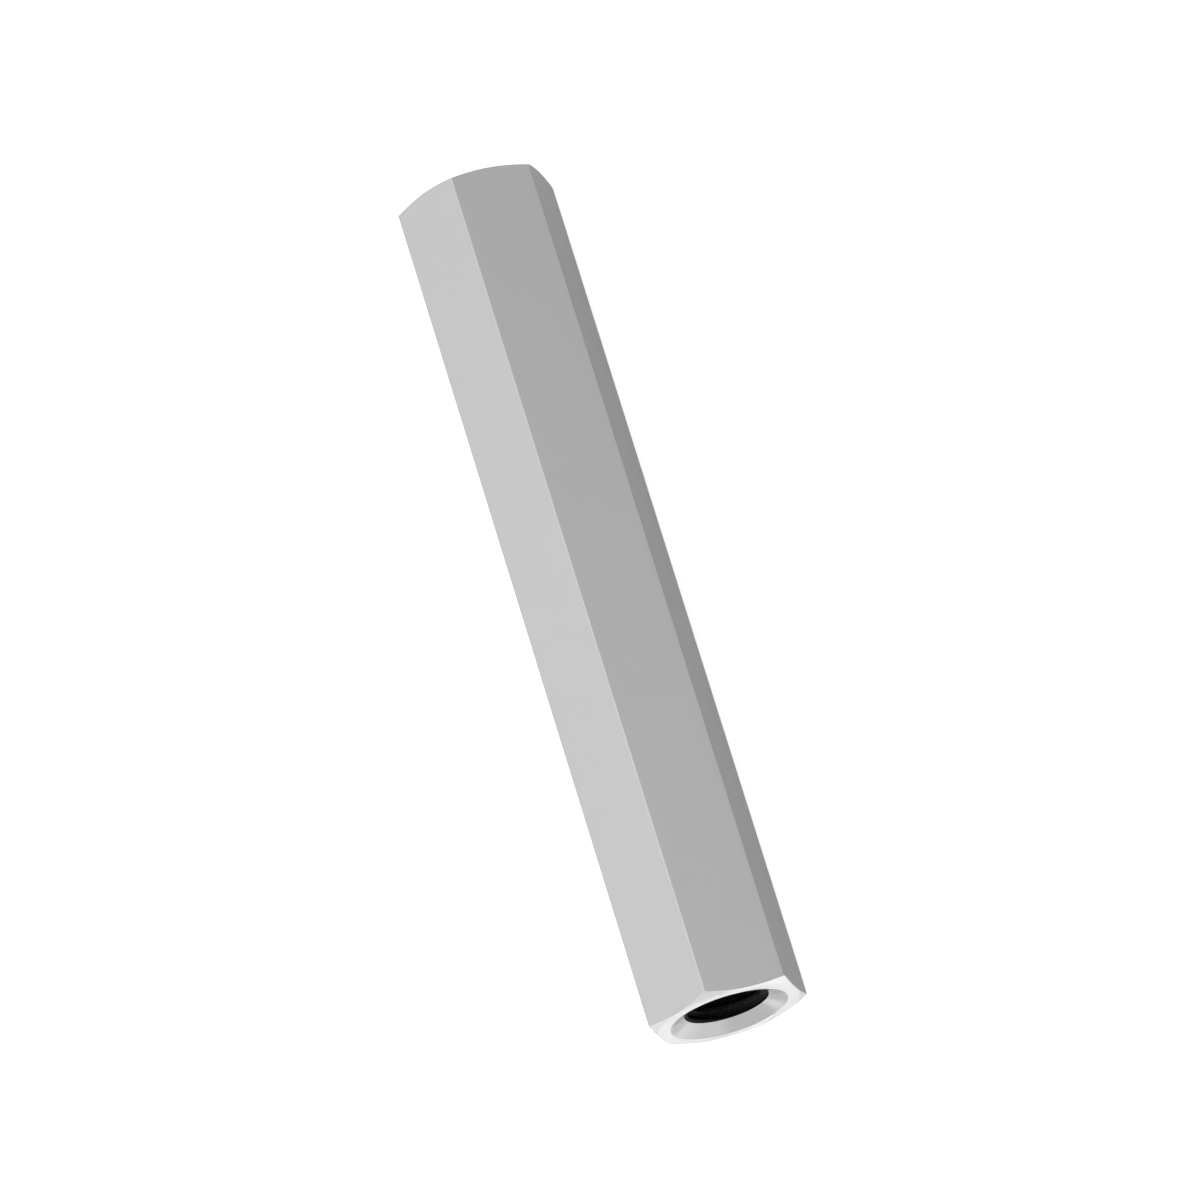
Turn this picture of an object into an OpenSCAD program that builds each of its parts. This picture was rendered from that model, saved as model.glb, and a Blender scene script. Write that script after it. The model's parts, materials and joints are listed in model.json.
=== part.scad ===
// Hexagonal sleeve nut: a long nut made from drawn hexagon bar, drilled through
// and tapped from both ends, right-hand in one end and left-hand in the other,
// so that turning it draws two rods together. The turns of the thread are not
// cut here: each tapped stretch is a plain wall at the thread's nominal diameter.
// The nut lies on one of its flats. X runs across two corners, Y along the bore
// and Z up, with the origin under the middle of the nut.

/* [Body] */
// Width across two opposite flats, which is the spanner size
across_flats = 20; // [18:0.5:36]
// Length from one end face to the other
body_l = 125; // [112:1:250]
// Radius along the six long corners of the bar
corner_r = 0.2; // [0.1:0.05:1]

/* [End chamfer] */
// Slope of the turned chamfer, measured from the end face
chamfer_angle = 21; // [10:1:45]
// How far inside the flats the chamfer runs out into the end face
chamfer_inset = 0.05; // [0.02:0.01:0.5]

/* [Countersink] */
// Width of the countersink's cone, from the tapped wall out to its mouth
countersink_w = 2.3; // [0.5:0.1:3]
// Included angle of the countersink's cone
countersink_angle = 120; // [60:5:140]

/* [Tapped bore] */
// Nominal diameter of the thread in each end
thread_d = 12; // [8:0.5:14]
// Distance from one turn of the thread to the next
thread_pitch = 1.75; // [0.5:0.25:2]
// Depth of full thread, from the end face
thread_depth = 45; // [20:1:50]
// Unfinished turns that the tap's taper leaves past the full thread
tap_lead_turns = 2.5; // [1:0.5:4]

/* [Hidden] */
$fn = 96;

hex_sides = 6;
corner_steps = 4; // flat strips around each rounded corner
cutter_over = 0.5; // how far a cutter runs past the face that it cuts

// The bar's section
side_turn = 360 / hex_sides;
flat_r = across_flats / 2;
corner_centre_r = (flat_r - corner_r) / cos(side_turn / 2);

// The turned envelope that leaves the end chamfers
rim_r = flat_r - chamfer_inset;
envelope_r = corner_centre_r + corner_r + cutter_over;
envelope_rise = (envelope_r - rim_r) * tan(chamfer_angle);

// The bore, worked inwards from an end face
thread_r = thread_d / 2;
drill_r = thread_r - thread_pitch / 2;
mouth_r = thread_r + countersink_w;
mouth_slope = tan(countersink_angle / 2);
countersink_depth = countersink_w / mouth_slope;
tap_lead_l = tap_lead_turns * thread_pitch;
tap_lead_slope = (thread_r - drill_r) / tap_lead_l;

// A point at distance r from the middle, in the direction given by an angle
function polar(r, angle) = r * [cos(angle), sin(angle)];

// The rounded hexagon of the bar, with two of its corners on the X axis
function bar_outline() = [
    for (side = [0:hex_sides - 1], step = [0:corner_steps])
        let (corner = side * side_turn, across = (step / corner_steps - 0.5) * side_turn)
            polar(corner_centre_r, corner) + polar(corner_r, corner + across)
];

// The bar, cut to length, with its axis on Z and its middle at the origin
module hexagon_bar() {
    linear_extrude(body_l, center = true)
        polygon(bar_outline());
}

// What a lathe leaves of the bar: a round envelope that slopes in at both ends
module turned_envelope() {
    half_l = body_l / 2;
    shoulder = half_l - envelope_rise;
    rotate_extrude()
        polygon([
            [0, -half_l], [rim_r, -half_l], [envelope_r, -shoulder],
            [envelope_r, shoulder], [rim_r, half_l], [0, half_l]
        ]);
}

// What the countersink and the tap take out of one end, from its face at Z = 0 upwards
module tapped_end() {
    lead_end = thread_depth + tap_lead_l + cutter_over;
    lead_tip_r = thread_r - tap_lead_slope * (tap_lead_l + cutter_over);
    rotate_extrude()
        polygon([
            [0, -cutter_over], [mouth_r + mouth_slope * cutter_over, -cutter_over],
            [thread_r, countersink_depth], [thread_r, thread_depth],
            [lead_tip_r, lead_end], [0, lead_end]
        ]);
}

// The hole right through, with a tapped and countersunk stretch at each end
module bore() {
    cylinder(h = body_l + 2 * cutter_over, r = drill_r, center = true);
    for (end = [0, 1])
        mirror([0, 0, end])
            translate([0, 0, -body_l / 2])
                tapped_end();
}

module sleeve_nut() {
    color("silver")
        translate([0, 0, flat_r])
            rotate([-90, 0, 0])
                difference() {
                    intersection() {
                        hexagon_bar();
                        turned_envelope();
                    }
                    bore();
                }
}

sleeve_nut();
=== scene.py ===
"""Finished looks of a hexagonal sleeve nut, laid out as an add-on.

The nut is one closed mesh, which a node tree works out from its sizes: one half is the turned
hexagon bar with a countersunk bore, and a thread swept along its helix; the other half is its
mirror image, so that one thread is right-handed and the other left-handed.
"""

import json
import math

import bmesh
import bpy
from mathutils import Matrix, Vector


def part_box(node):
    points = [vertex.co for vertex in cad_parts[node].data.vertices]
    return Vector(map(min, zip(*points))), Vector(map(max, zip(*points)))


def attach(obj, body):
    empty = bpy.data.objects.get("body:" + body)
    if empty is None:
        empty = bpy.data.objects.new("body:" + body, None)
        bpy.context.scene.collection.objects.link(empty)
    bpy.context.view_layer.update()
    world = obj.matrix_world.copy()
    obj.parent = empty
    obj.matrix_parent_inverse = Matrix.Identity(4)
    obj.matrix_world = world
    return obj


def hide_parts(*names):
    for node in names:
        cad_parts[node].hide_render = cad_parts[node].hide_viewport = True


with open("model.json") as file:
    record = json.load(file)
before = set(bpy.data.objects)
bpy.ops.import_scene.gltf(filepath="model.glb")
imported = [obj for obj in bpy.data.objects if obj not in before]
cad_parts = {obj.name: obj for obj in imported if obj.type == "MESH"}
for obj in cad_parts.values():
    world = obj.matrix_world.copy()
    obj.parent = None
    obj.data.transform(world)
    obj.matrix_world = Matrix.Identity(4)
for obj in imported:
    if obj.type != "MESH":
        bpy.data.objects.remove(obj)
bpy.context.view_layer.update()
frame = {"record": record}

bl_info = {
    "name": "Sleeve Nut",
    "version": (1, 0, 0),
    "blender": (4, 5, 0),
    "location": "3D View > Sidebar > Sleeve Nut",
    "description": "Builds a hexagonal sleeve nut with a cut thread in each end, its finish and its studio",
    "category": "Add Mesh",
}

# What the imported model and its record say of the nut
NODE = "sleeve_nut"
BODY = "root"
LOW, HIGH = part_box(NODE)
ACROSS_FLATS = HIGH.z - LOW.z
NUT_LENGTH = HIGH.y - LOW.y
THREAD = next(m for m in frame["record"]["mounts"] if m["kind"] == "threaded_hole")
MIDDLE = (LOW + HIGH) / 2
MM = 0.001

# The bar's hexagon, and how finely the nut is divided
SIDES = 6
SIDE_TURN = math.tau / SIDES
CORNER_STEPS = 4
FLAT_STEPS = 12
SIDE_STEPS = CORNER_STEPS + FLAT_STEPS
ROUND_STEPS = SIDES * SIDE_STEPS
STEP_TURN = math.tau / ROUND_STEPS

# Rows of points from the middle of the bar to the bore: on the hexagon, then on turned circles
BAR_ROWS = 3
TURNED_ROWS = 5

# How near two points are merged, which edges stay sharp, and how large the mesh may grow
SAME_POINT = 1e-6
SHARP_ANGLE = math.radians(28)
MOST_TRIANGLES = 200_000

# The most of the chamfer's width that the break at its outer edge may take
BREAK_SHARE = 0.4

# The thread's section, as shares of its pitch: how high it stands, and the flat bottom of its groove
THREAD_HEIGHT = 0.5
GROOVE_BOTTOM = 1 / 8
FLANK_ANGLE = math.radians(30)

# How many times finer the clouds of roughness are than those of colour
FINER_BLUR = 2.3

# Each lamp's azimuth and elevation in degrees, its width in metres and its watts
LAMPS = {
    "side_softbox": (270, 38, 2.2, 18.0),
    "front_softbox": (315, 38, 0.9, 6.6),
    "top_softbox": (0, 90, 0.9, 5.05),
    "table_lamp_far": (45, -15, 0.44, 1.22),
    "table_lamp_low": (20, -10, 0.6, 0.22),
    "table_lamp_streak": (48, -34, 0.4, 0.25),
    "table_lamp_corner": (30, -37, 0.44, 0.83),
    "table_lamp_front": (-5, -52, 0.5, 0.32),
    "table_lamp_under": (45, -62, 0.6, 0.54),
}
LAMP_DISTANCE = 1.6

# The table top: its width, how far it lies under the nut, and how far out its glow is full white
TABLE_WIDTH = 8.0
TABLE_GAP = 0.02 * MM
WHITE_DISTANCE = 0.9


# Sizes and colours that a user would change


def metres(name, description, default, least=0.0):
    """A property for a length, in metres."""
    return bpy.props.FloatProperty(
        name=name, description=description, default=default, min=least, unit="LENGTH",
    )


def degrees(name, description, default):
    """A property for an angle, with its default in degrees."""
    return bpy.props.FloatProperty(
        name=name, description=description, default=math.radians(default), subtype="ANGLE",
    )


def grey(name, description, level):
    """A property for a colour, which starts as a grey."""
    return bpy.props.FloatVectorProperty(
        name=name, description=description, default=(level, level, level),
        min=0.0, max=1.0, subtype="COLOR",
    )


def share(name, description, default):
    """A property from 0 to 1."""
    return bpy.props.FloatProperty(
        name=name, description=description, default=default, min=0.0, max=1.0, subtype="FACTOR",
    )


class NutSizes(bpy.types.PropertyGroup):
    """Sizes of the sleeve nut"""

    across_flats: metres("Across Flats", "Width across two opposite flats", ACROSS_FLATS, MM)
    length: metres("Length", "Length from one end face to the other", NUT_LENGTH, MM)
    corner_radius: metres("Corner Radius", "Radius along the long corners of the bar", 0.2 * MM)
    chamfer_angle: degrees(
        "Chamfer Angle", "Slope of the turned chamfer, measured from the end face", 21,
    )
    chamfer_inset: metres(
        "Chamfer Inset", "How far inside the flats the chamfer runs out into the end face", 0.05 * MM,
    )
    edge_break: metres("Edge Break", "Width of the small break along each turned edge", 0.03 * MM)
    countersink_width: metres(
        "Countersink Width", "Width of the cone, from the tapped wall out to its mouth", 2.3 * MM,
    )
    countersink_angle: degrees("Countersink Angle", "Included angle of the countersink's cone", 120)
    thread_radius: metres(
        "Thread Radius", "Nominal radius of the thread, at the bottom of its groove",
        THREAD["dims"]["r_mm"] * MM, 0.5 * MM,
    )
    thread_pitch: metres(
        "Thread Pitch", "Distance from one turn of the thread to the next", 1.75 * MM, 0.1 * MM,
    )
    thread_depth: metres("Thread Depth", "Depth of full thread, from the end face", 45 * MM, MM)
    tap_lead_turns: bpy.props.FloatProperty(
        name="Tap Lead",
        description="Unfinished turns that the tap's taper leaves past the full thread",
        default=2.5,
        min=0.1,
    )


class NutFinish(bpy.types.PropertyGroup):
    """Colours and finish of the sleeve nut"""

    bar_colour: grey("Bar", "Colour of the drawn flats", 0.63)
    bar_metal: share("Bar Metal", "How metallic the flats look", 0.3)
    bar_roughness: share("Bar Roughness", "Roughness of the flats", 0.45)
    faced_colour: grey("Faced Ends", "Colour of the end faces and the chamfers", 0.82)
    faced_metal: share("Faced Metal", "How metallic the end faces look", 0.7)
    faced_roughness: share("Faced Roughness", "Roughness of the end faces", 0.4)
    sink_colour: grey("Countersinks", "Colour of the countersinks", 0.56)
    sink_metal: share("Countersink Metal", "How metallic the countersinks look", 1.0)
    sink_roughness: share("Countersink Roughness", "Roughness of the countersinks", 0.2)
    # The bore's colour is painted shade: near black, so the thread and the drilled wall look dark from
    # every side.
    bore_painted_shade: grey("Bore", "Colour of the thread and the drilled wall", 0.006)
    bore_metal: share("Bore Metal", "How metallic the bore looks", 0.0)
    bore_roughness: share("Bore Roughness", "Roughness of the bore", 0.5)


class StudioSettings(bpy.types.PropertyGroup):
    """Camera, table and backdrop"""

    azimuth: degrees("Azimuth", "Direction of the camera round the nut", -41.7797)
    elevation: degrees("Elevation", "Height of the camera above the floor", 63.1702)
    roll: degrees("Roll", "Turn of the camera about its own line of sight", 27.6939)
    distance: metres("Distance", "Distance of the camera from the middle of the nut", 1.3609)
    lens: bpy.props.FloatProperty(
        name="Lens",
        description="Focal length of the camera, in millimetres",
        default=296.34,
    )
    table_colour: grey("Table", "Colour of the table top", 0.8)
    table_glow: share(
        "Table Glow", "How much white the table shows beside the nut, on top of the lamps' light", 0.78,
    )
    reflected_white: share(
        "Reflected White", "How much of the white background the steel reflects", 0.3,
    )


# Arithmetic on nodes


class NodeValue:
    """A number in a node tree, on which plain arithmetic adds Math nodes."""

    def __init__(self, tree, socket):
        self.tree = tree
        self.socket = socket

    def math(self, operation, *others):
        node = self.tree.nodes.new("ShaderNodeMath")
        node.operation = operation
        for plug, value in zip(node.inputs, (self, *others)):
            plug_in(self.tree, plug, value)
        return NodeValue(self.tree, node.outputs[0])

    def __add__(self, other):
        return self.math("ADD", other)

    def __mul__(self, other):
        return self.math("MULTIPLY", other)

    def __sub__(self, other):
        return self.math("SUBTRACT", other)

    def __rsub__(self, other):
        return self * -1 + other

    def __truediv__(self, other):
        return self.math("DIVIDE", other)

    def __rtruediv__(self, other):
        return NodeValue(self.tree, other).math("DIVIDE", self)

    def __gt__(self, other):
        return self.math("GREATER_THAN", other)

    def __lt__(self, other):
        return self.math("LESS_THAN", other)


def plug_in(tree, plug, value):
    """Feed a node's input with another node's value, or with a constant."""
    if isinstance(value, NodeValue):
        value = value.socket
    if isinstance(value, bpy.types.NodeSocket):
        tree.links.new(value, plug)
    else:
        plug.default_value = value


def sine(value):
    return value.math("SINE")


def cosine(value):
    return value.math("COSINE")


def tangent(value):
    return value.math("TANGENT")


def floor_of(value):
    return value.math("FLOOR")


def length_of(along, across):
    return (along * along + across * across).math("SQRT")


def smaller(value, other):
    return value.math("MINIMUM", other)


def larger(value, other):
    return value.math("MAXIMUM", other)


def either(test, if_true, if_false):
    """One of two values, by a test that is 1 or 0."""
    return test * if_true + (1 - test) * if_false


def add_node(tree, kind, _settings=None, **inputs):
    """A node of this kind, with its settings, and its inputs fed by name."""
    node = tree.nodes.new(kind)
    for name, value in (_settings or {}).items():
        setattr(node, name, value)
    for name, value in inputs.items():
        plug_in(tree, node.inputs[name.replace("_", " ")], value)
    return node


# Shape of the nut, as a tree of geometry nodes


def pick(tree, row, values):
    """The value that belongs to this row."""
    node = add_node(tree, "GeometryNodeIndexSwitch", {"data_type": "FLOAT"}, Index=row)
    for _ in values[2:]:
        node.index_switch_items.new()
    for plug, value in zip(node.inputs[1:], values):
        plug_in(tree, plug, value)
    return NodeValue(tree, node.outputs[0])


def bar_outline(size, column):
    """Angle round the bore and distance from it of one point of the bar's rounded hexagon.

    Each side is a corner's arc and the flat that follows it.
    """
    side = floor_of(column / SIDE_STEPS)
    step = column - side * SIDE_STEPS
    flat_r = size["Across Flats"] / 2
    corner_r = size["Corner Radius"]
    centre_r = (flat_r - corner_r) / math.cos(SIDE_TURN / 2)

    swing = (step / CORNER_STEPS - 0.5) * SIDE_TURN
    along = centre_r + corner_r * cosine(swing)
    across = corner_r * sine(swing)
    corner_angle = across.math("ARCTAN2", along)

    half_flat = ((flat_r - corner_r) * math.tan(SIDE_TURN / 2)).math("ARCTAN2", flat_r)
    from_middle = ((step - CORNER_STEPS) / FLAT_STEPS * 2 - 1) * half_flat
    flat_angle = from_middle + SIDE_TURN / 2

    on_flat = step > CORNER_STEPS
    angle = side * SIDE_TURN + either(on_flat, flat_angle, corner_angle)
    radius = either(on_flat, flat_r / cosine(from_middle), length_of(along, across))
    return angle, radius


def even_angle(column):
    """Angle round the bore of one point of a turned circle, which starts at the middle of a corner."""
    return (column - CORNER_STEPS / 2) * STEP_TURN


def laid_grid(tree, size, columns, rows, place):
    """A grid of points, each placed by its column and its row.

    The place is an angle round the bore, a radius, and a depth from the end face.
    """
    grid = add_node(tree, "GeometryNodeMeshGrid", Vertices_X=columns, Vertices_Y=rows)
    index = NodeValue(tree, tree.nodes.new("GeometryNodeInputIndex").outputs[0])
    column = floor_of((index + 0.5) / rows)
    angle, radius, depth = place(column, index - column * rows)
    point = add_node(
        tree,
        "ShaderNodeCombineXYZ",
        X=radius * cosine(angle),
        Y=depth - size["Length"] / 2,
        Z=size["Across Flats"] / 2 - radius * sine(angle),
    )
    return add_node(
        tree,
        "GeometryNodeSetPosition",
        Geometry=grid.outputs["Mesh"],
        Position=point.outputs[0],
    ).outputs[0]


def turned_end(tree, size):
    """Half of the bar's outside, with the chamfer, the end face and the countersink of its end."""
    thread_r = size["Thread Radius"]
    mouth_r = thread_r + size["Countersink Width"]
    rim_r = size["Across Flats"] / 2 - size["Chamfer Inset"]
    slope = tangent(size["Chamfer Angle"])
    sink_slope = tangent(size["Countersink Angle"] / 2)
    edge = size["Edge Break"]

    def place(column, row):
        bar_angle, bar_r = bar_outline(size, column)
        angles = [bar_angle] * BAR_ROWS + [even_angle(column)] * TURNED_ROWS
        chamfer_w = bar_r - rim_r
        shoulder = chamfer_w * slope
        narrow = smaller(edge, chamfer_w * BREAK_SHARE)
        radius = pick(tree, row, [
            bar_r, bar_r, bar_r - narrow,
            rim_r + narrow, rim_r - edge,
            mouth_r + edge, mouth_r - edge, thread_r,
        ])
        depth = pick(tree, row, [
            size["Length"] / 2, shoulder + narrow, shoulder - narrow * slope,
            narrow * slope, 0.0,
            0.0, edge / sink_slope, size["Countersink Width"] / sink_slope,
        ])
        return pick(tree, row, angles), radius, depth

    return laid_grid(tree, size, ROUND_STEPS + 1, BAR_ROWS + TURNED_ROWS, place)


def tapped_bore(tree, size):
    """The thread of one end: a long strip swept along its helix, whose edges meet turn by turn.

    Past the thread's two ends the strip is squeezed flat against them, and merging takes that away.
    """
    pitch = size["Thread Pitch"]
    thread_r = size["Thread Radius"]
    height = pitch * THREAD_HEIGHT
    drill_r = thread_r - height
    sink_slope = tangent(size["Countersink Angle"] / 2)
    start = size["Countersink Width"] / sink_slope
    lead = size["Tap Lead"] * pitch
    end = size["Thread Depth"] + lead
    lead_slope = (thread_r - drill_r) / lead
    turns = ((end - start) / pitch).math("CEIL") + 1

    # Over one pitch: the groove's bottom, a flank, the land between two turns, and a flank
    bottom = GROOVE_BOTTOM
    flank = THREAD_HEIGHT * math.tan(FLANK_ANGLE)
    land = 1 - bottom - 2 * flank
    shares = [0, bottom, bottom + flank / 2, bottom + flank]
    shares += [bottom + flank + land / 2, 1 - flank, 1 - flank / 2, 1]
    heights = [0, 0, 0.5, 1, 1, 1, 0.5, 0]

    def place(column, row):
        angle = even_angle(column)
        along = pick(tree, row, [float(s) for s in shares])
        raised = pick(tree, row, [float(h) for h in heights])
        helix = start + (angle / math.tau + along - 1) * pitch
        depth = smaller(larger(helix, start), end)
        cut_r = thread_r - raised * height
        sink_r = thread_r - (depth - start) * sink_slope
        lead_r = thread_r - (depth - size["Thread Depth"]) * lead_slope
        radius = larger(smaller(larger(cut_r, sink_r), lead_r), drill_r)
        return angle, radius, depth

    columns = (turns * ROUND_STEPS + 1).socket
    return laid_grid(tree, size, columns, len(shares), place), end, drill_r


def drilled_middle(tree, size, start, drill_r):
    """The plain drilled wall from the end of a thread to the middle of the nut."""

    def place(column, row):
        return even_angle(column), drill_r, pick(tree, row, [start, size["Length"] / 2])

    return laid_grid(tree, size, ROUND_STEPS + 1, 2, place)


def mirrored_half(tree, half):
    """The half that was laid, facing outwards, and its mirror image across the middle of the nut."""
    near = add_node(tree, "GeometryNodeFlipFaces", Mesh=half)
    far = add_node(tree, "GeometryNodeTransform", Geometry=half, Scale=(1.0, -1.0, 1.0))
    return near.outputs[0], far.outputs[0]


def joined(tree, *parts):
    node = tree.nodes.new("GeometryNodeJoinGeometry")
    for part in parts:
        tree.links.new(part, node.inputs[0])
    return node.outputs[0]


def tree_inputs(tree, sizes):
    """A named input for each size, and the values they give."""
    for name, prop in sizes.bl_rna.properties.items():
        if prop.type == "FLOAT":
            socket = tree.interface.new_socket(prop.name, in_out="INPUT", socket_type="NodeSocketFloat")
            socket.default_value = getattr(sizes, name)
    group = tree.nodes.new("NodeGroupInput")
    return {plug.name: NodeValue(tree, plug) for plug in group.outputs if plug.name}


def smooth_shading(tree, mesh):
    """Smooth faces, with every edge that turns sharply left sharp."""
    turn = tree.nodes.new("GeometryNodeInputMeshEdgeAngle").outputs["Unsigned Angle"]
    faces = add_node(tree, "GeometryNodeSetShadeSmooth", {"domain": "FACE"}, Geometry=mesh)
    return add_node(
        tree,
        "GeometryNodeSetShadeSmooth",
        {"domain": "EDGE"},
        Geometry=faces.outputs[0],
        Selection=NodeValue(tree, turn) > SHARP_ANGLE,
        Shade_Smooth=False,
    ).outputs[0]


def parts_of(tree, kind):
    """The X, Y and Z of what a node of this kind reads from the mesh."""
    whole = tree.nodes.new(kind).outputs[0]
    split = add_node(tree, "ShaderNodeSeparateXYZ", Vector=whole)
    return [NodeValue(tree, plug) for plug in split.outputs]


def sleeve_nut_tree(sizes, finishes):
    """The whole nut: a mirrored half, closed, with its four finishes."""
    tree = bpy.data.node_groups.new("sleeve_nut", "GeometryNodeTree")
    tree.interface.new_socket("Geometry", in_out="OUTPUT", socket_type="NodeSocketGeometry")
    size = tree_inputs(tree, sizes)
    thread, thread_end, drill_r = tapped_bore(tree, size)
    half = joined(tree, turned_end(tree, size), thread, drilled_middle(tree, size, thread_end, drill_r))
    whole = joined(tree, *mirrored_half(tree, half))
    closed = add_node(tree, "GeometryNodeMergeByDistance", Geometry=whole, Distance=SAME_POINT)
    smooth = smooth_shading(tree, closed.outputs[0])
    solid = add_node(tree, "GeometryNodeRealizeInstances", Geometry=smooth)

    x, _, z = parts_of(tree, "GeometryNodeInputPosition")
    _, facing_end, _ = parts_of(tree, "GeometryNodeInputNormal")
    from_axis = length_of(x, z - size["Across Flats"] / 2)
    on_end = facing_end.math("ABSOLUTE") > math.sin(SHARP_ANGLE)
    in_sink = from_axis < size["Thread Radius"] + size["Countersink Width"]
    in_bore = from_axis < size["Thread Radius"]
    choices = {"bar": True, "face": on_end, "sink": in_sink, "bore": in_bore}
    shape = solid.outputs[0]
    for finish, where in choices.items():
        shape = add_node(
            tree,
            "GeometryNodeSetMaterial",
            Geometry=shape,
            Selection=where,
            Material=finishes[finish],
        ).outputs[0]
    tree.links.new(shape, tree.nodes.new("NodeGroupOutput").inputs[0])
    return tree


def grown_mesh(name, tree, values):
    """The plain mesh that a tree makes, with its inputs set by the sockets' identifiers."""
    carrier = bpy.data.objects.new(name + "_carrier", bpy.data.meshes.new(name + "_carrier"))
    bpy.context.scene.collection.objects.link(carrier)
    modifier = carrier.modifiers.new("tree", "NODES")
    modifier.node_group = tree
    for item in tree.interface.items_tree:
        if item.item_type == "SOCKET" and item.in_out == "INPUT":
            modifier[item.identifier] = values[item.name]
    evaluated = carrier.evaluated_get(bpy.context.evaluated_depsgraph_get())
    mesh = bpy.data.meshes.new_from_object(evaluated)
    mesh.name = name
    bpy.data.objects.remove(carrier)
    return mesh


def check_closed(mesh):
    """Stop with a plain message unless the mesh is one closed wall that faces outwards."""
    shape = bmesh.new()
    shape.from_mesh(mesh)
    open_edges = [e for e in shape.edges if not e.is_manifold]
    volume = shape.calc_volume(signed=True)
    triangles = sum(len(f.verts) - 2 for f in shape.faces)
    shape.free()
    if open_edges:
        raise RuntimeError(f"{mesh.name} has {len(open_edges)} edges that aren't shared by two faces")
    if volume <= 0:
        raise RuntimeError(f"{mesh.name} is inside out")
    if triangles > MOST_TRIANGLES:
        raise RuntimeError(f"{mesh.name} has {triangles} triangles, over {MOST_TRIANGLES}")
    print(f"{mesh.name}: {triangles} triangles, {volume * 1e9:.1f} cubic millimetres")


# Finishes, and the effects they share


def shader_group(name, inputs, outputs):
    """An empty group with named sockets, the values of its inputs, and its output node."""
    group = bpy.data.node_groups.new(name, "ShaderNodeTree")
    for label, kind in inputs.items():
        group.interface.new_socket(label, in_out="INPUT", socket_type=f"NodeSocket{kind}")
    for label, kind in outputs.items():
        group.interface.new_socket(label, in_out="OUTPUT", socket_type=f"NodeSocket{kind}")
    entry = group.nodes.new("NodeGroupInput")
    values = {plug.name: NodeValue(group, plug) for plug in entry.outputs if plug.name}
    return group, values, group.nodes.new("NodeGroupOutput")


def place_group(tree, group, **inputs):
    """One use of a shared effect, with its inputs fed by name, and its outputs by name."""
    node = add_node(tree, "ShaderNodeGroup", {"node_tree": group}, **inputs)
    return {plug.name: NodeValue(tree, plug) for plug in node.outputs}


def vector_math(tree, operation, first, second):
    node = add_node(tree, "ShaderNodeVectorMath", {"operation": operation})
    plug_in(tree, node.inputs[0], first)
    plug_in(tree, node.inputs["Scale" if operation == "SCALE" else 1], second)
    return NodeValue(tree, node.outputs[0])


def noise(tree, place, scale, detail):
    """Noise that swings about 0, from about -1 to 1."""
    node = add_node(tree, "ShaderNodeTexNoise", Vector=place, Scale=scale, Detail=detail)
    return NodeValue(tree, node.outputs["Fac"]) * 2 - 1


def turned_place_group():
    """Where a point lies for a tool that goes round the bore: how far out, and which way round."""
    group, value, out = shader_group(
        "turned_place",
        {"Place": "Vector", "Axis Height": "Float"},
        {"Round": "Vector", "From Axis": "Float"},
    )
    split = add_node(group, "ShaderNodeSeparateXYZ", Vector=value["Place"])
    x = NodeValue(group, split.outputs["X"])
    above = NodeValue(group, split.outputs["Z"]) - value["Axis Height"]
    from_axis = length_of(x, above)
    tool_place = add_node(
        group, "ShaderNodeCombineXYZ", X=from_axis, Y=x / from_axis, Z=above / from_axis,
    )
    plug_in(group, out.inputs["Round"], tool_place.outputs[0])
    plug_in(group, out.inputs["From Axis"], from_axis)
    return group


def tool_marks_group():
    """Fine marks of a tool or a die, each of Mark Size: how wide it is, and how far it runs."""
    group, value, out = shader_group(
        "tool_marks",
        {
            "Place": "Vector", "Mark Size": "Vector",
            "Roughness": "Float", "Roughness Change": "Float",
        },
        {"Height": "Float", "Roughness": "Float"},
    )
    along = vector_math(group, "DIVIDE", value["Place"], value["Mark Size"])
    marks = noise(group, along, 1.0, 2.0)
    plug_in(group, out.inputs["Height"], marks)
    plug_in(group, out.inputs["Roughness"], value["Roughness"] + marks * value["Roughness Change"])
    return group


def soft_clouds_group():
    """The soft uneven tone of handled steel, in its colour and its roughness."""
    group, value, out = shader_group(
        "soft_clouds",
        {
            "Place": "Vector", "Cloud Size": "Float", "Colour": "Color", "Colour Change": "Float",
            "Roughness": "Float", "Roughness Change": "Float",
        },
        {"Colour": "Color", "Roughness": "Float"},
    )
    often = 1 / value["Cloud Size"]
    tone = larger(noise(group, value["Place"], often, 3.0) * value["Colour Change"] + 1, 0.0)
    blur = noise(group, value["Place"], often * FINER_BLUR, 2.0) * value["Roughness Change"]
    plug_in(group, out.inputs["Colour"], vector_math(group, "SCALE", value["Colour"], tone))
    plug_in(group, out.inputs["Roughness"], value["Roughness"] + blur)
    return group


def edge_wear_and_highlight_group():
    """Lighter and smoother steel beside an edge, which handling has rubbed; on the thread's crests the
    lighter colour is a painted highlight.
    """
    group, value, out = shader_group(
        "edge_wear_and_highlight",
        {
            "Distance": "Float", "Width": "Float", "Colour": "Color", "Gain": "Float",
            "Roughness": "Float", "Smoother": "Float",
        },
        {"Colour": "Color", "Roughness": "Float"},
    )
    near = larger(1 - value["Distance"] / value["Width"], 0.0)
    rubbed = near * near
    lighter = vector_math(group, "SCALE", value["Colour"], rubbed * value["Gain"] + 1)
    plug_in(group, out.inputs["Colour"], lighter)
    plug_in(group, out.inputs["Roughness"], value["Roughness"] - rubbed * value["Smoother"])
    return group


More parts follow.
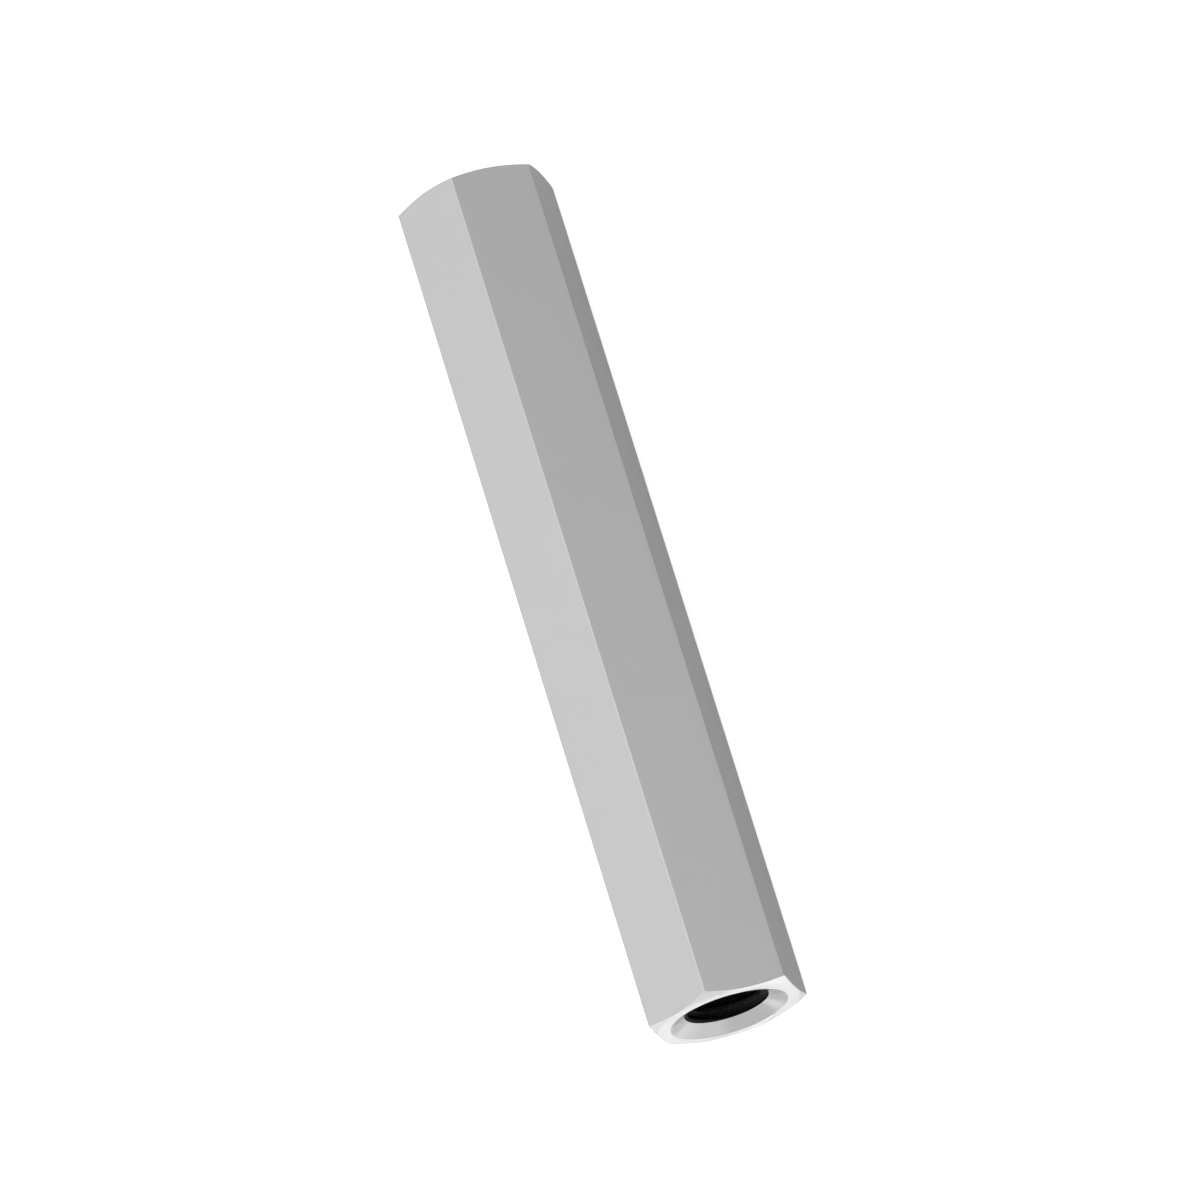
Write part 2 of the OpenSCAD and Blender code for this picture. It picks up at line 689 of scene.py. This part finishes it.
class SteelFinish:
    """A steel material, to which the shared effects are added one by one."""

    def __init__(self, name, effects, colour, metal, roughness):
        self.material = bpy.data.materials.new(name)
        self.material.use_nodes = True
        self.tree = self.material.node_tree
        self.effects = effects
        self.shader = next(n for n in self.tree.nodes if n.type == "BSDF_PRINCIPLED")
        self.shader.inputs["Metallic"].default_value = metal
        self.colour = (*colour, 1.0)
        self.roughness = roughness
        texture = self.tree.nodes.new("ShaderNodeTexCoord")
        self.place = NodeValue(self.tree, texture.outputs["Object"])
        turned = place_group(
            self.tree, effects["turned_place"], Place=self.place, Axis_Height=ACROSS_FLATS / 2,
        )
        self.round = turned["Round"]
        self.from_axis = turned["From Axis"]

    def add(self, effect, **inputs):
        """Pass the colour and the roughness through an effect, and give what else it puts out."""
        group = self.effects[effect]
        names = {item.name for item in group.interface.items_tree if item.in_out == "INPUT"}
        for name, value in (("Colour", self.colour), ("Roughness", self.roughness)):
            if name in names:
                inputs[name] = value
        result = place_group(self.tree, group, **inputs)
        self.colour = result.get("Colour", self.colour)
        self.roughness = result.get("Roughness", self.roughness)
        return result

    def finish(self, height, depth):
        """Feed the shader, with a bump of this depth, and give the material."""
        bump = add_node(self.tree, "ShaderNodeBump", Height=height, Distance=depth, Strength=1.0)
        plug_in(self.tree, self.shader.inputs["Normal"], bump.outputs["Normal"])
        plug_in(self.tree, self.shader.inputs["Base Color"], self.colour)
        plug_in(self.tree, self.shader.inputs["Roughness"], self.roughness)
        return self.material


def drawn_steel(effects, finish, sizes):
    """The drawn flats: faint lines along the bar, and corners rubbed a little."""
    steel = SteelFinish(
        "drawn_steel", effects, finish.bar_colour, finish.bar_metal, finish.bar_roughness,
    )
    steel.add(
        "soft_clouds", Place=steel.place, Cloud_Size=6 * MM, Colour_Change=0.012, Roughness_Change=0.02,
    )
    arc_centre_r = (sizes.across_flats / 2 - sizes.corner_radius) / math.cos(SIDE_TURN / 2)
    corner_r = arc_centre_r + sizes.corner_radius
    steel.add(
        "edge_wear_and_highlight", Distance=corner_r - steel.from_axis,
        Width=0.12 * MM, Gain=0.01, Smoother=0.03,
    )
    lines = steel.add(
        "tool_marks", Place=steel.place,
        Mark_Size=(0.11 * MM, 14 * MM, 0.11 * MM), Roughness_Change=0.02,
    )
    return steel.finish(lines["Height"], 0.0006 * MM)


def faced_steel(effects, finish, sizes):
    """The end face and the chamfer, with the fine rings that facing leaves."""
    steel = SteelFinish(
        "faced_steel", effects, finish.faced_colour, finish.faced_metal, finish.faced_roughness,
    )
    steel.add(
        "soft_clouds", Place=steel.place, Cloud_Size=4 * MM, Colour_Change=0.01, Roughness_Change=0.02,
    )
    mouth_r = sizes.thread_radius + sizes.countersink_width
    rim_r = sizes.across_flats / 2 - sizes.chamfer_inset
    to_mouth = (steel.from_axis - mouth_r).math("ABSOLUTE")
    to_rim = (steel.from_axis - rim_r).math("ABSOLUTE")
    to_edge = smaller(to_mouth, to_rim)
    steel.add("edge_wear_and_highlight", Distance=to_edge, Width=0.15 * MM, Gain=0.04, Smoother=0.05)
    rings = steel.add(
        "tool_marks", Place=steel.round, Mark_Size=(0.07 * MM, 1.6, 1.6), Roughness_Change=0.02,
    )
    return steel.finish(rings["Height"], 0.0003 * MM)


def countersunk_steel(effects, finish, sizes):
    """The cone of the countersink, cut smoother than the face, with rings from the tool's edges."""
    steel = SteelFinish(
        "countersunk_steel", effects, finish.sink_colour, finish.sink_metal, finish.sink_roughness,
    )
    steel.add(
        "soft_clouds", Place=steel.place, Cloud_Size=3 * MM, Colour_Change=0.01, Roughness_Change=0.02,
    )
    steel.add(
        "edge_wear_and_highlight", Distance=steel.from_axis - sizes.thread_radius,
        Width=0.2 * MM, Gain=0.1, Smoother=0.05,
    )
    rings = steel.add(
        "tool_marks", Place=steel.round, Mark_Size=(0.12 * MM, 1.1, 1.1), Roughness_Change=0.02,
    )
    return steel.finish(rings["Height"], 0.0005 * MM)


def tapped_steel_painted_shade(effects, finish, sizes):
    """The thread and the drilled wall, in painted shade: nearly black, with random specks a little lighter.

    The shade is painted into the colour, so they stay dark from every side.
    """
    steel = SteelFinish(
        "tapped_steel_painted_shade", effects, finish.bore_painted_shade, finish.bore_metal, finish.bore_roughness,
    )
    steel.add(
        "soft_clouds", Place=steel.place, Cloud_Size=0.5 * MM, Colour_Change=2.2, Roughness_Change=0.08,
    )
    # Painted highlight: the thread's crests are painted lighter than the painted shade, as faint glints.
    crest_r = sizes.thread_radius - sizes.thread_pitch * THREAD_HEIGHT
    steel.add(
        "edge_wear_and_highlight", Distance=steel.from_axis - crest_r,
        Width=0.2 * MM, Gain=2.2, Smoother=0.1,
    )
    rings = steel.add(
        "tool_marks", Place=steel.round, Mark_Size=(0.05 * MM, 0.9, 0.9), Roughness_Change=0.05,
    )
    # A weak reflection keeps the painted shade dark.
    steel.shader.inputs["Specular IOR Level"].default_value = 0.06
    return steel.finish(rings["Height"], 0.001 * MM)


def nut_finishes(finish, sizes):
    """The four finishes of the nut, which share their effects."""
    groups = (turned_place_group(), tool_marks_group(), soft_clouds_group(), edge_wear_and_highlight_group())
    effects = {group.name: group for group in groups}
    return {
        "bar": drawn_steel(effects, finish, sizes),
        "face": faced_steel(effects, finish, sizes),
        "sink": countersunk_steel(effects, finish, sizes),
        "bore": tapped_steel_painted_shade(effects, finish, sizes),
    }


# The nut and its studio, as operators


class SLEEVENUT_OT_nut(bpy.types.Operator):
    """Make the sleeve nut in place of its plain solid"""

    bl_idname = "sleevenut.nut"
    bl_label = "Make Sleeve Nut"

    def execute(self, context):
        sizes = context.scene.nut_sizes
        tree = sleeve_nut_tree(sizes, nut_finishes(context.scene.nut_finish, sizes))
        named = {
            item.name: getattr(sizes, key)
            for key, item in sizes.bl_rna.properties.items()
            if item.type == "FLOAT"
        }
        mesh = grown_mesh("sleeve_nut_steel", tree, named)
        check_closed(mesh)
        nut = bpy.data.objects.new("sleeve_nut_steel", mesh)
        context.scene.collection.objects.link(nut)
        weighted = nut.modifiers.new("even_flats", "WEIGHTED_NORMAL")
        weighted.keep_sharp = True
        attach(nut, BODY)
        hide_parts(NODE)
        return {"FINISHED"}


def direction(azimuth, elevation):
    """The way from the nut to something at this azimuth and elevation.

    The azimuth starts at the -Y end and turns towards +X.
    """
    return Vector((
        math.sin(azimuth) * math.cos(elevation),
        -math.cos(azimuth) * math.cos(elevation),
        math.sin(elevation),
    ))


def add_camera(scene, studio):
    """The camera, turned towards the middle of the nut and rolled."""
    back = direction(studio.azimuth, studio.elevation)
    level = (-back).to_track_quat("-Z", "Y").to_matrix()
    turn = level @ Matrix.Rotation(studio.roll, 3, "Z")
    lens = bpy.data.cameras.new("camera")
    lens.lens = studio.lens
    camera = bpy.data.objects.new("camera", lens)
    camera.matrix_world = Matrix.Translation(MIDDLE + back * studio.distance) @ turn.to_4x4()
    scene.collection.objects.link(camera)
    scene.camera = camera


def add_lamp(scene, name, azimuth, elevation, width, watts):
    """A round soft lamp that looks at the nut; one below the table shines through it."""
    light = bpy.data.lights.new(name, "AREA")
    light.shape = "DISK"
    light.size = width
    light.energy = watts
    light.cycles.use_multiple_importance_sampling = elevation > 0
    towards = direction(math.radians(azimuth), math.radians(elevation))
    lamp = bpy.data.objects.new(name, light)
    lamp.location = MIDDLE + towards * LAMP_DISTANCE
    lamp.rotation_euler = towards.to_track_quat("Z", "Y").to_euler()
    lamp.visible_camera = False
    scene.collection.objects.link(lamp)


def background_share(tree, seen, reflected):
    """The strength of the white background: in view, and in what reflections and glass show of it."""
    path = tree.nodes.new("ShaderNodeLightPath")
    camera, glossy, through = (
        NodeValue(tree, path.outputs[f"Is {ray} Ray"]) for ray in ("Camera", "Glossy", "Transmission")
    )
    return camera * seen + (glossy + through) * reflected


def add_table(scene, studio):
    """A wide pale table top, which glows in view and still takes the nut's shadow.

    The lamps' light falls off with distance, and the glow makes up for it.
    """
    half = TABLE_WIDTH / 2
    mesh = bpy.data.meshes.new("table_top")
    corners = [(-half, -half), (half, -half), (half, half), (-half, half)]
    mesh.from_pydata([(x, y, LOW.z - TABLE_GAP) for x, y in corners], [], [range(len(corners))])
    table = bpy.data.objects.new("table_top", mesh)
    scene.collection.objects.link(table)
    table.visible_shadow = False

    material = bpy.data.materials.new("table_top")
    material.use_nodes = True
    tree = material.node_tree
    tree.nodes.clear()
    matt = add_node(tree, "ShaderNodeBsdfDiffuse", Color=(*studio.table_colour, 1.0))
    place = tree.nodes.new("ShaderNodeTexCoord").outputs["Object"]
    measure = add_node(tree, "ShaderNodeVectorMath", {"operation": "LENGTH"}, Vector=place)
    away = NodeValue(tree, measure.outputs["Value"])
    whiter = smaller(away / WHITE_DISTANCE * (1 - studio.table_glow) + studio.table_glow, 1.0)
    glow = add_node(
        tree, "ShaderNodeEmission", Strength=background_share(tree, whiter, studio.reflected_white),
    )
    lit = tree.nodes.new("ShaderNodeAddShader")
    tree.links.new(matt.outputs[0], lit.inputs[0])
    tree.links.new(glow.outputs[0], lit.inputs[1])
    from_below = tree.nodes.new("ShaderNodeNewGeometry").outputs["Backfacing"]
    clear = tree.nodes.new("ShaderNodeBsdfTransparent")
    one_way = tree.nodes.new("ShaderNodeMixShader")
    for plug, value in zip(one_way.inputs, (from_below, lit.outputs[0], clear.outputs[0])):
        tree.links.new(value, plug)
    tree.links.new(one_way.outputs[0], tree.nodes.new("ShaderNodeOutputMaterial").inputs["Surface"])
    mesh.materials.append(material)


def add_backdrop(scene, studio):
    """White all round, which reflections and glass show too, and which gives no light of its own."""
    world = bpy.data.worlds.new("white_room")
    scene.world = world
    world.use_nodes = True
    tree = world.node_tree
    tree.nodes.clear()
    white = add_node(
        tree, "ShaderNodeBackground", Color=(1.0, 1.0, 1.0, 1.0),
        Strength=background_share(tree, 1.0, studio.reflected_white),
    )
    tree.links.new(white.outputs[0], tree.nodes.new("ShaderNodeOutputWorld").inputs["Surface"])


class SLEEVENUT_OT_stage(bpy.types.Operator):
    """Make the table, the backdrop, the lamps and the camera"""

    bl_idname = "sleevenut.stage"
    bl_label = "Make Studio"

    def execute(self, context):
        scene = context.scene
        scene.view_settings.view_transform = "Standard"
        add_camera(scene, scene.nut_studio)
        add_table(scene, scene.nut_studio)
        add_backdrop(scene, scene.nut_studio)
        for name, settings in LAMPS.items():
            add_lamp(scene, name, *settings)
        return {"FINISHED"}


class SLEEVENUT_PT_panel(bpy.types.Panel):
    """Sizes, finish and studio of the sleeve nut"""

    bl_label = "Sleeve Nut"
    bl_idname = "SLEEVENUT_PT_panel"
    bl_space_type = "VIEW_3D"
    bl_region_type = "UI"
    bl_category = "Sleeve Nut"

    def draw(self, context):
        layout = self.layout
        for operator in OPERATORS:
            layout.operator(operator.bl_idname)
        for name in SETTINGS:
            group = getattr(context.scene, name)
            box = layout.box()
            for key in group.bl_rna.properties.keys():
                if key not in ("rna_type", "name"):
                    box.prop(group, key)


SETTINGS = {"nut_sizes": NutSizes, "nut_finish": NutFinish, "nut_studio": StudioSettings}
OPERATORS = (SLEEVENUT_OT_nut, SLEEVENUT_OT_stage)
CLASSES = (*SETTINGS.values(), *OPERATORS, SLEEVENUT_PT_panel)


def register():
    for cls in CLASSES:
        bpy.utils.register_class(cls)
    for name, group in SETTINGS.items():
        setattr(bpy.types.Scene, name, bpy.props.PointerProperty(type=group))


def unregister():
    for name in SETTINGS:
        delattr(bpy.types.Scene, name)
    for cls in reversed(CLASSES):
        bpy.utils.unregister_class(cls)


def main():
    register()
    bpy.ops.sleevenut.nut()
    bpy.ops.sleevenut.stage()


if __name__ == "__main__":
    main()
